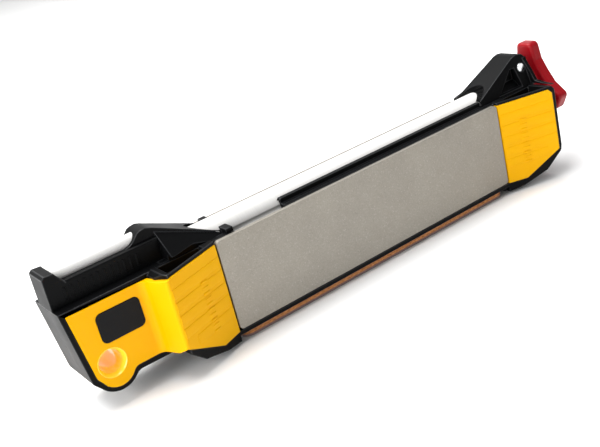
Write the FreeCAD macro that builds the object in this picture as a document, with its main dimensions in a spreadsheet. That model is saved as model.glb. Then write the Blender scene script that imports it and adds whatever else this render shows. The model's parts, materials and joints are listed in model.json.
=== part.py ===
"""Guided hand sharpener: two magnetic grinding plates, a turning ceramic rod, a small
serration rod and a leather strop on a moulded body with yellow 20-degree guides.

Frame, in millimetres: X runs along the tool from the handle to the knob, Y is across it with
Y = 0 on the mid-plane, and Z is up from the strop's face, on which the tool stands.
"""
import FreeCAD, Part
import os
import re
import Sketcher

doc = FreeCAD.newDocument("GuidedSharpener")

# ---------------------------------------------------------------- driving dimensions
SIZES = [
    ("plate_length", 101.6, "grinding plate along X, 4 in"),
    ("plate_height", 25.4, "grinding plate along Z, 1 in"),
    ("plate_thick", 1.5, "grinding plate, steel"),
    ("plate_corner", 1.1, "corner radius of a plate"),
    ("plate_face", 9.5, "mid-plane to a plate's grinding face"),
    ("plate_low", 4.0, "height of a plate's lower edge"),
    ("plate_mid", 6.4, "X of the plates' centre"),
    ("plate_gap", 0.4, "gap between a plate's end and the guide"),
    ("back_gap", 0.15, "gap behind a plate"),
    ("guide_angle", 20.0, "degrees between a plate and its guide ramps"),
    ("guide_run", 17.6, "length of a guide ramp along X"),
    ("skin", 1.9, "thickness of the yellow mouldings"),
    ("border_drop", 0.3, "black border below the yellow face"),
    ("border_width", 1.0, "black border beyond the ramp's outer end"),
    ("skirt_top", 29.9, "top of the black border round a guide"),
    ("ledge", 29.4, "top of the lower body"),
    ("base_high", 2.4, "underside of the body over the strop"),
    ("left_end", -87.2, "handle end of the body"),
    ("right_end", 76.2, "knob end of the body"),
    ("handle_half", 7.45, "mid-plane to the shell's face at the handle"),
    ("cover_face", 7.75, "mid-plane to the yellow handle face"),
    ("spine_half", 4.3, "mid-plane to the upper handle's face"),
    ("spine_top", 35.4, "top of the upper handle"),
    ("spine_end", -56.7, "where the upper handle meets the left rod guide"),
    ("cradle_half", 6.3, "half width of the rod's bed, below the ledge"),
    ("cradle_low", 21.6, "underside of the rod's bed"),
    ("lip_half", 5.1, "half width of the lips beside the rod"),
    ("lip_top", 30.8, "top of the lips"),
    ("lip_start", -20.6, "X where the lips start"),
    ("rod_radius", 4.76, "ceramic rod, 3/8 in diameter"),
    ("rod_fit", 0.06, "radial clearance of the turning rod"),
    ("rod_high", 27.6, "height of the rod's axis"),
    ("rod_left", -52.0, "rod's end in the left guide"),
    ("rod_right", 66.0, "rod's end in the hub"),
    ("groove_radius", 0.8, "fish-hook groove in the rod"),
    ("groove_out", 5.26, "axis to the groove's centre line"),
    ("groove_angle", 80.0, "groove's turn from the top, towards the front"),
    ("hub_right", 72.6, "end of the hub's full diameter"),
    ("neck_radius", 3.2, "hub's neck through the end wall"),
    ("spigot_radius", 2.5, "hub's spigot in the rod"),
    ("ramp_angle", 25.0, "degrees between the rod and its guide ramps"),
    ("ramp_cross", 51.5, "plate_mid to where a ramp meets the rod's top"),
    ("hood_start", 54.8, "inner end of the right rod guide"),
    ("hood_end", 77.4, "outer face of the right rod guide"),
    ("left_mouth", -47.0, "X where the left ramp parts for the rod"),
    ("right_mouth", 62.0, "X where the right ramp parts for the rod"),
    ("ridge_half", 3.1, "half width of the left ramp at its top"),
    ("knob_left", 81.8, "inner face of the knob"),
    ("knob_right", 85.8, "outer face of the knob's lobes"),
    ("boss_right", 87.2, "outer face of the knob's centre boss"),
    ("boss_radius", 5.0, "centre boss of the knob"),
    ("lobe_reach", 12.8, "axis to the flat end of a knob lobe"),
    ("lobe_half", 2.9, "half width of a lobe's end"),
    ("root_reach", 7.2, "axis to a lobe's root"),
    ("root_half", 3.9, "half width of a lobe's root"),
    ("waist_reach", 6.8, "axis to the knob's side between two lobes"),
    ("lobe_round", 1.6, "rounding of a lobe's corners"),
    ("knob_bevel", 1.1, "rounding of the knob's inner rim"),
    ("knob_round", 0.7, "rounding of the knob's outer rim"),
    ("square_half", 1.9, "half width of the hub's square end"),
    ("pin_radius", 1.4, "retaining pin"),
    ("pin_x", 74.2, "pin and detent along X"),
    ("pin_high", 35.4, "height of the pin"),
    ("small_radius", 2.0, "serration rod"),
    ("small_high", 35.8, "height of the serration rod's axis"),
    ("small_left", -85.8, "serration rod's left end"),
    ("small_right", -59.4, "serration rod's right end"),
    ("hole_x", -78.7, "lanyard hole along X"),
    ("hole_high", 12.3, "lanyard hole's height"),
    ("hole_radius", 3.1, "lanyard hole"),
    ("sleeve_radius", 3.9, "outside of the lanyard sleeve"),
    ("sleeve_flare", 1.2, "depth of the sleeve's flared mouths"),
    ("lobe_x", -78.0, "centre of the handle's rounded corner, along X"),
    ("lobe_high", 10.3, "height of that centre"),
    ("corner_round", 6.1, "radius of the black rounded corner"),
    ("cover_round", 4.8, "radius of the yellow rounded corner"),
    ("strop_half", 8.0, "half width of the strop"),
    ("strop_thick", 2.0, "leather of the strop"),
    ("strop_inset", 1.2, "plate's end to the strop's end"),
    ("magnet_radius", 4.0, "plate magnet"),
    ("magnet_thick", 1.8, "plate magnet"),
    ("magnet_step", 32.0, "spacing of the magnets"),
    ("screw_step", 17.0, "plate_mid to the inner body screws"),
    ("screw_far", 47.0, "plate_mid to the outer body screws"),
    ("screw_high", 12.5, "height of the screws and magnets"),
    ("badge_thick", 0.6, "blank inlay on the handle"),
    ("badge_left", -79.2, "badge's handle end"),
    ("badge_right", -67.4, "badge's other end"),
    ("badge_low", 17.4, "badge's lower edge"),
    ("badge_high", 25.4, "badge's upper edge"),
    ("badge_round", 1.5, "corner radius of the badge"),
]
ALIASES = {alias for alias, size, note in SIZES}

sizes = doc.addObject("Spreadsheet::Sheet", "Sizes")
for row, (alias, size, note) in enumerate(SIZES, start=1):
    sizes.set(f"A{row}", note)
    sizes.set(f"B{row}", str(size))
    sizes.setAlias(f"B{row}", alias)
doc.recompute()

# An object whose expressions give part.py the value of a formula in the sheet's aliases.
gauge = doc.addObject("App::FeaturePython", "Gauge")


def linked(formula):
    """The formula with every alias written as a reference to the sheet."""
    def with_sheet(word):
        return ("Sizes." if word.group() in ALIASES else "") + word.group()

    return re.sub(r"[a-z_]+", with_sheet, str(formula))


def value(formula):
    """The formula's number."""
    result = gauge.evalExpression(linked(formula))
    return float(getattr(result, "Value", result))


# ---------------------------------------------------------------- modelling steps
PLANES = {"top": "XY_Plane", "side": "XZ_Plane", "end": "YZ_Plane"}
X_AXIS = FreeCAD.Vector(1, 0, 0)
Y_AXIS = FreeCAD.Vector(0, 1, 0)
Z_AXIS = FreeCAD.Vector(0, 0, 1)


def draw_outline(sketch, corners):
    """A closed outline whose corners are tied to the sheet."""
    points = [FreeCAD.Vector(value(across), value(up), 0) for across, up in corners]
    count = len(points)
    for index in range(count):
        sketch.addGeometry(Part.LineSegment(points[index], points[(index + 1) % count]))
    for index in range(count):
        sketch.addConstraint(Sketcher.Constraint("Coincident", index, 2, (index + 1) % count, 1))
    for index, (across, up) in enumerate(corners):
        for kind, axis, formula, size in (("DistanceX", -2, across, points[index].x),
                                          ("DistanceY", -1, up, points[index].y)):
            if size == 0:
                sketch.addConstraint(Sketcher.Constraint("PointOnObject", index, 1, axis))
                continue
            tie = sketch.addConstraint(Sketcher.Constraint(kind, -1, 1, index, 1, size))
            sketch.setExpression(f"Constraints[{tie}]", linked(formula))


def prism(name, plane, corners, low, high):
    """An outline on one of the three planes, padded from low to high along the plane's axis."""
    body = doc.addObject("PartDesign::Body", name)
    sketch = body.newObject("Sketcher::SketchObject", name + "_outline")
    origin = next(part for part in body.Origin.OriginFeatures if part.Role == PLANES[plane])
    sketch.AttachmentSupport = [(origin, "")]
    sketch.MapMode = "FlatFace"
    start = f"-({high})" if plane == "side" else low
    sketch.setExpression("AttachmentOffset.Base.z", linked(start))
    draw_outline(sketch, corners)
    pad = body.newObject("PartDesign::Pad", name + "_pad")
    pad.Profile = sketch
    pad.setExpression("Length", linked(f"({high}) - ({low})"))
    return body


def box(name, x_span, y_span, z_span):
    """A block between two places along each axis."""
    block = doc.addObject("Part::Box", name)
    spans = (("Length", "x", x_span), ("Width", "y", y_span), ("Height", "z", z_span))
    for side, place, (low, high) in spans:
        block.setExpression(side, linked(f"({high}) - ({low})"))
        block.setExpression(f"Placement.Base.{place}", linked(low))
    return block


def cylinder(name, axis, centre, radius, low, high):
    """A round bar along axis, between low and high, with its centre line at centre."""
    bar = doc.addObject("Part::Cylinder", name)
    turns = {"x": FreeCAD.Rotation(Y_AXIS, 90), "y": FreeCAD.Rotation(X_AXIS, -90), "z": FreeCAD.Rotation()}
    bar.Placement = FreeCAD.Placement(FreeCAD.Vector(), turns[axis])
    across = [place for place in "xyz" if place != axis]
    bar.setExpression(f"Placement.Base.{across[0]}", linked(centre[0]))
    bar.setExpression(f"Placement.Base.{across[1]}", linked(centre[1]))
    bar.setExpression(f"Placement.Base.{axis}", linked(low))
    bar.setExpression("Radius", linked(radius))
    bar.setExpression("Height", linked(f"({high}) - ({low})"))
    return bar


def fuse(name, *parts):
    """The parts joined into one solid, without the seams between coplanar faces."""
    joined = doc.addObject("Part::MultiFuse", name)
    joined.Shapes = list(parts)
    joined.Refine = True
    return joined


def common(name, *parts):
    """What the parts share."""
    shared = doc.addObject("Part::MultiCommon", name)
    shared.Shapes = list(parts)
    return shared


def cut(name, base, *tools):
    """The base without the tools."""
    result = doc.addObject("Part::Cut", name)
    result.Base = base
    result.Tool = tools[0] if len(tools) == 1 else fuse(name + "_tools", *tools)
    result.Refine = True
    return result


def rounded(name, base, radius, chosen):
    """The base with the edges for which chosen(edge) is true rounded."""
    doc.recompute()
    size = value(radius)
    result = doc.addObject("Part::Fillet", name)
    result.Base = base
    edges = enumerate(base.Shape.Edges, start=1)
    result.Edges = [(number, size, size) for number, edge in edges if chosen(edge)]
    return result


def group(name, parts):
    """Separate like pieces kept together in one node."""
    together = doc.addObject("Part::Compound", name)
    together.Links = parts
    return together


def beyond_plane(name, corners):
    """A block lying on the plane through three points, on the side that their order turns to."""
    first, second, third = (FreeCAD.Vector(*corner) for corner in corners)
    normal = (second - first).cross(third - first).normalize()
    block = doc.addObject("Part::Box", name)
    reach = 60
    block.Length = reach
    block.Width = reach
    block.Height = reach / 2
    turn = FreeCAD.Rotation(Z_AXIS, normal)
    block.Placement = FreeCAD.Placement(first - turn.multVec(FreeCAD.Vector(reach / 2, reach / 2, 0)), turn)
    return block


def runs_along(edge, axis, tolerance=1e-4):
    """Whether the edge is a straight one parallel to axis."""
    start, end = edge.Vertexes[0].Point, edge.Vertexes[-1].Point
    step = end - start
    return edge.Curve.TypeId == "Part::GeomLine" and step.Length > 0 and step.cross(axis).Length < tolerance


def near(edge, place, tolerance=0.3):
    """Whether the edge's middle lies at X = place."""
    return abs(edge.CenterOfMass.x - value(place)) < tolerance


SIDES = {"front": -1, "rear": 1}
ENDS = {"left": -1, "right": 1}


def across(side, low, high):
    """The Y range between two distances from the mid-plane, on one side."""
    return (f"-({high})", f"-({low})") if side < 0 else (low, high)


def from_middle(end, distance):
    """The X at a distance from the plates' centre, towards one end."""
    return f"plate_mid + {end} * ({distance})"


GUIDE_START = "plate_length / 2 + plate_gap"
RISE = "guide_run * tan(guide_angle * 1 deg)"
PLATE_BED = "plate_face - plate_thick - back_gap"

# ---------------------------------------------------------------- yellow guides and covers


def guide_outline(end):
    """Side view of a yellow ramp: square at the plate, its lower outer corner cut away."""
    corners = [("0", "3.7"), ("6", "3.5"), ("guide_run", "9.8"), ("guide_run", "27.4"),
               ("guide_run - 1.5", "29"), ("0", "29")]
    return [(from_middle(end, f"{GUIDE_START} + {run}"), up) for run, up in corners]


def tip_guide(label, side):
    """The yellow 20-degree ramp beside the knob, of even thickness."""
    outline = prism(label + "_side", "side", guide_outline(1), *across(side, "0", "plate_face + guide_run"))
    start = from_middle(1, GUIDE_START)
    stop = from_middle(1, f"{GUIDE_START} + guide_run")
    profile = [(start, "plate_face"), (stop, f"plate_face + {RISE}"),
               (stop, f"plate_face + {RISE} - skin"), (start, "plate_face - skin")]
    plan = prism(label + "_plan", "top", [(run, f"{side} * ({out})") for run, out in profile], "0", "40")
    slab = common(label + "_slab", outline, plan)

    def outer_rim(edge):
        place = edge.CenterOfMass
        return place.x > value(stop) - 0.1 and abs(place.y) > value(f"plate_face + {RISE}") - 0.1

    return rounded(label, slab, "0.6", outer_rim)


def handle_cover(label, side):
    """The yellow handle face, one moulding with the left ramp and the wall between them."""
    start = from_middle(-1, GUIDE_START)
    ridge = from_middle(-1, f"{GUIDE_START} + guide_run")
    valley = f"{ridge} - 3.2"
    tail = "left_end + 1.6"
    outline = [(start, "3.7"), (from_middle(-1, f"{GUIDE_START} + 6"), "3.5"), (ridge, "9.8"),
               (f"{ridge} - 1.2", "8.4"), ("lobe_x + 3", "lobe_high - 1.9"), ("lobe_x", "lobe_high"),
               ("lobe_x - 3.6", "lobe_high - 3.18"), ("lobe_x - 5.4", "lobe_high - 0.4"), (tail, "28.2"),
               (f"{ridge} - 1", "28.2"), (f"{ridge} + 1.5", "29"), (start, "29")]
    depth = across(side, "0", "plate_face + guide_run")
    outer = fuse(label + "_outline", prism(label + "_side", "side", outline, *depth),
                 cylinder(label + "_corner", "y", ("lobe_x", "lobe_high"), "cover_round", *depth))
    soft = rounded(label + "_soft", outer, "2", lambda edge: runs_along(edge, Y_AXIS)
                   and (near(edge, "lobe_x + 4.41") or near(edge, "lobe_x - 5.4")))
    profile = [(start, "plate_face"), (ridge, f"plate_face + {RISE}"), (valley, "cover_face"),
               ("left_end", "cover_face"), ("left_end", "cover_face - skin"),
               (f"{valley} + 1.3", "cover_face - skin"),
               (f"{ridge} + 0.6", f"plate_face + {RISE} - skin - 0.9"), (start, "plate_face - skin")]
    plan = prism(label + "_plan", "top", [(run, f"{side} * ({out})") for run, out in profile], "0", "40")
    bent = rounded(label + "_bent", plan, "2.2", lambda edge: runs_along(edge, Z_AXIS)
                   and abs(edge.CenterOfMass.x - value(valley)) < 0.1)
    folded = rounded(label + "_folded", bent, "0.8", lambda edge: runs_along(edge, Z_AXIS)
                     and abs(edge.CenterOfMass.x - value(ridge)) < 0.1)
    shell = common(label + "_shell", soft, folded)
    hole = cylinder(label + "_hole", "y", ("hole_x", "hole_high"), "sleeve_radius", "-20", "20")
    return cut(label, shell, hole, badge_block(label + "_recess", side, "20"))


def badge_block(name, side, high):
    """A block with rounded corners where the badge sits, from its back to high."""
    blank = box(name + "_blank", ("badge_left", "badge_right"),
                across(side, "cover_face - badge_thick", high), ("badge_low", "badge_high"))
    return rounded(name, blank, "badge_round", lambda edge: runs_along(edge, Y_AXIS))


nodes = {}
for name, side in SIDES.items():
    nodes[f"{name}_tip_guide"] = tip_guide(f"{name}_tip_guide", side)
    nodes[f"{name}_handle_cover"] = handle_cover(f"{name}_handle_cover", side)
    nodes[f"{name}_badge"] = badge_block(f"{name}_badge", side, "cover_face + 0.15")

# ---------------------------------------------------------------- moulded body halves


def skirt(label, side, end):
    """The black border that carries a guide: a wedge a little wider and lower than its ramp."""
    corners = [("-0.4", "0.7"), ("5", "1.3"), ("12.8", "3.8"), ("guide_run + border_width - 0.4", "9"),
               ("guide_run + border_width", "10.5"), ("guide_run + border_width", "skirt_top - 1.2"),
               ("guide_run + border_width - 1.2", "skirt_top"), ("-0.4", "skirt_top")]
    outline = [(from_middle(end, f"{GUIDE_START} + {run}"), up) for run, up in corners]
    outer = prism(label + "_side", "side", outline, *across(side, "0", "plate_face + guide_run"))
    start = from_middle(end, GUIDE_START)
    stop = from_middle(end, f"{GUIDE_START} + guide_run")
    far = from_middle(end, f"{GUIDE_START} + guide_run + border_width")
    low, high = "plate_face - border_drop", f"plate_face + {RISE} - border_drop"
    if end > 0:
        profile = [(start, "0"), (start, low), (stop, high), (far, high), (far, "0")]
    else:
        profile = [(start, "0"), (start, low), (f"{stop} + 0.8", f"{high} - 0.4"),
                   (f"{stop} - 2.3", "handle_half"), (f"{stop} - 2.3", "0")]
    plan = prism(label + "_plan", "top", [(run, f"{side} * ({out})") for run, out in profile], "0", "40")
    wedge = common(label + "_wedge", outer, plan)
    # a scoop in the border's top leaves a thin lip along the ramp's upper edge
    scoop_plan = []
    for run in ("3.5", "(guide_run - 1.6)"):
        place = from_middle(end, f"{GUIDE_START} + {run}")
        lip = (place, f"plate_face + {run} * tan(guide_angle * 1 deg) - 1.1")
        scoop_plan += [(place, "handle_half"), lip] if run == "3.5" else [lip, (place, "handle_half")]
    scoop = prism(label + "_scoop", "top", [(run, f"{side} * ({out})") for run, out in scoop_plan],
                  "skirt_top - 3", "skirt_top + 1")
    return cut(label, wedge, scoop)


def shell(label, side, guides):
    """One moulded half of the body: the plate's bed, the handle half and the two guide borders."""
    outline = [("left_end", "ledge"), ("lobe_x - 6.9", "lobe_high - 1.2"),
               ("lobe_x - 4", "lobe_high - 4.6"),
               ("lobe_x", "lobe_high"), ("lobe_x + 4", "lobe_high - 3.4")]
    outline += [(from_middle(-1, f"{GUIDE_START} + {run}"), up)
                for run, up in (("16.2", "6.6"), ("12.2", "3.6"), ("5", "1.3"), ("-0.4", "0.7"),
                                ("-0.4", "base_high"))]
    outline += [(from_middle(1, f"{GUIDE_START} + {run}"), up)
                for run, up in (("-0.4", "base_high"), ("-0.4", "0.7"), ("5", "1.3"), ("12.8", "3.8"))]
    outline += [("right_end - 0.4", "9"), ("right_end", "10.5"), ("right_end", "ledge")]
    depth = across(side, "0", "handle_half")
    half = fuse(label + "_half", prism(label + "_side", "side", outline, *depth),
                cylinder(label + "_corner", "y", ("lobe_x", "lobe_high"), "corner_round", *depth))
    soft = rounded(label + "_soft", half, "2.5", lambda edge: runs_along(edge, Y_AXIS)
                   and (near(edge, "lobe_x + 5.06") or near(edge, "lobe_x - 6.9")))
    bed_x = (from_middle(-1, GUIDE_START), from_middle(1, GUIDE_START))
    bed = box(label + "_bed", bed_x, across(side, "handle_half - 1", PLATE_BED), ("base_high", "ledge"))
    lip = box(label + "_lip", bed_x, across(side, "handle_half - 1", "plate_face - 0.3"),
              ("base_high", "plate_low - 0.3"))
    borders = [skirt(f"{label}_{end}_border", side, sign) for end, sign in ENDS.items()]
    solid = fuse(label + "_solid", soft, bed, lip, *borders)
    tools = [
        box(label + "_channel", ("spine_end - 2", "right_end + 1"), across(side, "-1", "cradle_half"),
            ("cradle_low", "ledge + 5")),
        box(label + "_slot", ("left_end + 2.4", "spine_end"), across(side, "-1", "3"),
            ("ledge - 5", "ledge + 1")),
        box(label + "_deck", ("left_end - 1", "right_end + 1"), across(side, "-1", "handle_half"),
            ("ledge", "ledge + 5")),
        cylinder(label + "_lanyard", "y", ("hole_x", "hole_high"), "sleeve_radius", "-20", "20"),
        window(label + "_window", side),
    ]
    for step in (-1, 0, 1):
        centre = from_middle(step, "magnet_step")
        tools.append(cylinder(f"{label}_magnet_{step + 2}", "y", (centre, "screw_high"), "magnet_radius",
                              *across(side, f"{PLATE_BED} - magnet_thick", f"{PLATE_BED} + 0.5")))
        tools.append(box(f"{label}_core_{step + 2}", (f"{centre} - 9", f"{centre} + 9"),
                         across(side, "-1", "3.8"),
                         ("base_high + 3", "cradle_low - 2")))
    for number, centre in enumerate(SCREWS, start=1):
        tools.append(cylinder(f"{label}_screw_{number}", "y", (centre, "screw_high"), "1.15",
                              *(("-5.4", "9") if side > 0 else ("-5.4", "1"))))
        if side > 0:
            tools.append(cylinder(f"{label}_head_{number}", "y", (centre, "screw_high"), "2.3",
                                  f"{PLATE_BED} - 1.9", "9"))
    return cut(label, cut(label + "_bare", solid, *guides), *tools)


RAMP_FOOT = "(plate_mid - ramp_cross + (rod_high + rod_radius - ledge) / tan(ramp_angle * 1 deg))"


def window(label, side):
    """The cut beside the rod that leaves its side free; it starts along the left guide's ramp."""
    corners = [("4", "27.2"), ("8.2", "28.9"), ("8.2", "ledge + 3"), ("4", "ledge + 3")]
    opening = prism(label + "_opening", "end", [(f"{side} * ({out})", up) for out, up in corners],
                    RAMP_FOOT, "lip_start - 0.4")
    far = f"{RAMP_FOOT} + 3.2"
    below_ramp = [(RAMP_FOOT, "ledge"), (far, "ledge - 3.2 * tan(ramp_angle * 1 deg)"),
                  (far, "ledge - 3"), (RAMP_FOOT, "ledge - 3")]
    return cut(label, opening, prism(label + "_ramp", "side", below_ramp, "-9", "9"))


SCREWS = [from_middle(sign, step) for sign in (-1, 1) for step in ("screw_step", "screw_far")]
for name, side in SIDES.items():
    guides = [nodes[f"{name}_tip_guide"], doc.getObject(f"{name}_handle_cover_shell")]
    nodes[f"{name}_shell"] = shell(f"{name}_shell", side, guides)

# ---------------------------------------------------------------- spine: upper handle and rod bed

spine_parts = [
    box("spine_bed", ("spine_end - 2", "right_end"), ("-cradle_half", "cradle_half"),
        ("cradle_low", "ledge")),
    box("spine_tongue", ("left_end + 2.4", "spine_end"), ("-3", "3"), ("ledge - 5", "ledge")),
    prism("spine_grip", "side", [("left_end", "ledge"), ("left_end + 0.2", "37.6"),
                                 ("left_end + 1", "38.3"),
                                 ("left_end + 3.4", "38.1"), ("left_end + 5.2", "spine_top"),
                                 ("spine_end", "spine_top"), ("spine_end", "ledge")],
          "-spine_half", "spine_half"),
    prism("spine_lips", "side", [("lip_start - 1.6", "ledge - 1"), ("lip_start - 1.6", "ledge"),
                                 ("lip_start", "lip_top"), ("hood_start", "lip_top"),
                                 ("hood_start", "ledge - 1")],
          "-lip_half", "lip_half"),
]
spine_tools = [
    cylinder("spine_bore", "x", ("0", "rod_high"), "rod_radius + rod_fit", "rod_left - 0.3",
             "hub_right + 0.3"),
    cylinder("spine_neck_bore", "x", ("0", "rod_high"), "neck_radius + rod_fit", "hub_right",
             "right_end + 1"),
    cylinder("spine_small_bed", "x", ("0", "small_high"), "small_radius", "small_left", "spine_end + 1"),
    window("spine_window_front", -1),
    window("spine_window_rear", 1),
]
spine = cut("spine_cut", fuse("spine_whole", *spine_parts), *spine_tools)
nodes["spine"] = rounded("spine", spine, "0.5", lambda edge: runs_along(edge, X_AXIS)
                         and abs(abs(edge.CenterOfMass.y) - value("spine_half")) < 0.01
                         and abs(edge.CenterOfMass.z - value("spine_top")) < 0.01)

# ---------------------------------------------------------------- 25-degree rod guides


def ramp_high(end, place):
    """Height of the ramp's plane at X = place."""
    run = f"({place} - plate_mid) * {end} - ramp_cross"
    return f"rod_high + rod_radius + ({run}) * tan(ramp_angle * 1 deg)"


def facets(label, end, peak, tip, base):
    """Two blocks that slope a rod guide's flanks; peak, tip and base are X, half width and Z."""
    blocks = []
    for name, side in SIDES.items():
        places = [(value(place), side * value(half), value(high)) for place, half,
                  high in (peak, tip, base)]
        corners = places if side * end < 0 else (places[0], places[2], places[1])
        blocks.append(beyond_plane(f"{label}_{name}_facet", corners))
    return blocks


LEFT_TIP = "-39.4"
left_wedge = prism("left_wedge", "side", [("spine_end", "ledge"), ("spine_end", ramp_high(-1, "spine_end")),
                                          (RAMP_FOOT, "ledge")], "-9.3", "9.3")
left_flanks = facets("left", -1, ("spine_end", "ridge_half", f"{ramp_high(-1, 'spine_end')} - 1.2"),
                     (LEFT_TIP, "5", ramp_high(-1, LEFT_TIP)), ("spine_end", "9.3", "31.1"))
undercuts = [box(f"left_{name}_undercut", ("spine_end - 1", "-30"), across(side, "7", "12"),
                 ("20", "ledge + 1.4"))
             for name, side in SIDES.items()]
left_flanked = cut("left_flanked", left_wedge, *left_flanks, *undercuts)
ridge_plan = prism("left_ridge_plan", "top", [("spine_end", "-ridge_half"), (LEFT_TIP, "-5.2"),
                                              (LEFT_TIP, "5.2"), ("spine_end", "ridge_half")], "0", "45")
left_ridge = common("left_ridge", left_wedge, ridge_plan)
# the handle's top edge rises in a curve and closes over the serration rod as an arch
arch = prism("left_arch", "side", [("spine_end - 8.3", "spine_top"), ("spine_end - 6.9", "spine_top + 0.4"),
                                   ("spine_end - 5.7", "spine_top + 1.2"),
                                   ("spine_end - 4.3", "spine_top + 2.6"),
                                   ("spine_end - 3.3", "38.35"), ("spine_end - 1.9", "38.5"),
                                   ("spine_end - 0.6", ramp_high(-1, "spine_end - 0.6")),
                                   ("spine_end", ramp_high(-1, "spine_end")), ("spine_end", "spine_top")],
             "-ridge_half", "ridge_half")
stubs = [box(f"left_{name}_stub", ("-39.8", "-37.6"), across(side, "3", "handle_half"), ("ledge", "30.7"))
         for name, side in SIDES.items()]
nodes["rod_guide_left"] = cut(
    "rod_guide_left", fuse("left_guide_whole", left_flanked, left_ridge, arch, *stubs),
    cylinder("left_guide_bore", "x", ("0", "rod_high"), "rod_radius + rod_fit", "rod_left - 0.3", "0"),
    cylinder("left_guide_mouth", "x", ("0", "rod_high"), "rod_radius + 0.9", "left_mouth", "-40.2"),
    cylinder("left_small_bore", "x", ("0", "small_high"), "small_radius", "-80", "small_right"))

HOOD_PEAK = "72.2"
hood = prism("hood_side", "side", [("hood_start", "ledge"), ("hood_start", "lip_top"),
                                   (HOOD_PEAK, ramp_high(1, HOOD_PEAK)), ("74", "39.4"), ("76.2", "39"),
                                   ("hood_end", "37.6"), ("hood_end", "ledge")], "-6.8", "6.8")
hood_flanks = facets("hood", 1, (HOOD_PEAK, "3.9", ramp_high(1, HOOD_PEAK)),
                     ("hood_start", "5.3", ramp_high(1, "hood_start")), (HOOD_PEAK, "6.8", "ledge"))
hood_webs = []
hood_recesses = []
for name, side in SIDES.items():
    # the end wall is a tall lug that spreads down to the guides' outer corners
    web = [("3", "ledge"), ("handle_half", "ledge"), ("handle_half", "skirt_top"), ("15.2", "skirt_top"),
           ("11.5", "skirt_top + 0.3"), ("8.5", "skirt_top + 0.9"), ("7.2", "skirt_top + 3.5"),
           ("5.8", "skirt_top + 5.9"), ("4.6", "skirt_top + 7.9"), ("3", "skirt_top + 8.2")]
    hood_webs.append(prism(f"hood_{name}_web", "end", [(f"{side} * ({out})", up) for out, up in web],
                           "pin_x + pin_radius + 0.3", "hood_end - 0.2"))
    # a hollow in the flank shows the round of the rod's tube
    hollow = prism(f"hood_{name}_hollow", "side", [("62.8", "ledge + 0.6"), ("69.8", "ledge + 6.6"),
                                                   ("71.6", "ledge + 6.6"), ("72.4", "ledge + 0.6")],
                   *across(side, "3", "9"))
    tube = cylinder(f"hood_{name}_tube", "x", ("0", "rod_high"), "rod_radius + 0.75", "50", "80")
    hood_recesses.append(cut(f"hood_{name}_recess", hollow, tube))
hood_faced = cut("hood_faced", hood, *hood_flanks, *hood_recesses)
nodes["rod_guide_right"] = cut(
    "rod_guide_right", fuse("hood_whole", hood_faced, *hood_webs),
    cylinder("hood_bore", "x", ("0", "rod_high"), "rod_radius + rod_fit", "50", "hub_right + 0.5"),
    cylinder("hood_mouth", "x", ("0", "rod_high"), "rod_radius + 1.3", "50", "right_mouth"),
    cylinder("hood_neck_bore", "x", ("0", "rod_high"), "neck_radius + rod_fit", "hub_right",
             "hood_end + 1"),
    cylinder("hood_detent_bore", "z", ("pin_x", "0"), "1.3", "rod_high", "pin_high"),
    cylinder("hood_pin_bore", "y", ("pin_x", "pin_high"), "pin_radius", "-9", "9"))

# ---------------------------------------------------------------- turning rod, hub, knob and screw

groove_y = "-groove_out * sin(groove_angle * 1 deg)"
groove_z = "rod_high + groove_out * cos(groove_angle * 1 deg)"
nodes["ceramic_rod"] = cut(
    "ceramic_rod", cylinder("rod_bar", "x", ("0", "rod_high"), "rod_radius", "rod_left", "rod_right"),
    cylinder("rod_groove", "x", (groove_y, groove_z), "groove_radius", "rod_left - 1", "rod_right - 10"),
    cylinder("rod_socket", "x", ("0", "rod_high"), "spigot_radius", "rod_right - 8", "rod_right + 1"))

SQUARE = (("-square_half", "square_half"), ("rod_high - square_half", "rod_high + square_half"))
SQUARE_START = "hood_end + 0.3"
hub = fuse("hub_turned",
           cylinder("hub_spigot", "x", ("0", "rod_high"), "spigot_radius", "rod_right - 8", "rod_right"),
           cylinder("hub_collar", "x", ("0", "rod_high"), "rod_radius", "rod_right", "hub_right"),
           cylinder("hub_neck", "x", ("0", "rod_high"), "neck_radius", "hub_right", SQUARE_START),
           box("hub_square", (SQUARE_START, "knob_right - 1.4"), *SQUARE))
dimples = []
for index in range(3):
    turn = 90 + 120 * index
    dimples.append(cylinder(f"hub_dimple_{index + 1}", "x",
                            (f"(neck_radius + 0.75) * cos({turn} * 1 deg)",
                             f"rod_high + (neck_radius + 0.75) * sin({turn} * 1 deg)"),
                            "1.2", "pin_x - 1.2", "pin_x + 1.2"))
hub_thread = cylinder("hub_thread", "x", ("0", "rod_high"), "1.2", "knob_left - 6", "knob_right")
nodes["rod_hub"] = cut("rod_hub", hub, hub_thread, *dimples)


def knob_corner(turn, out, aside):
    """Y and Z of a corner of the knob: out along a lobe at a turn from the Y axis, and aside from it."""
    return (f"({out}) * cos({turn} * 1 deg) - ({aside}) * sin({turn} * 1 deg)",
            f"rod_high + ({out}) * sin({turn} * 1 deg) + ({aside}) * cos({turn} * 1 deg)")


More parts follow.
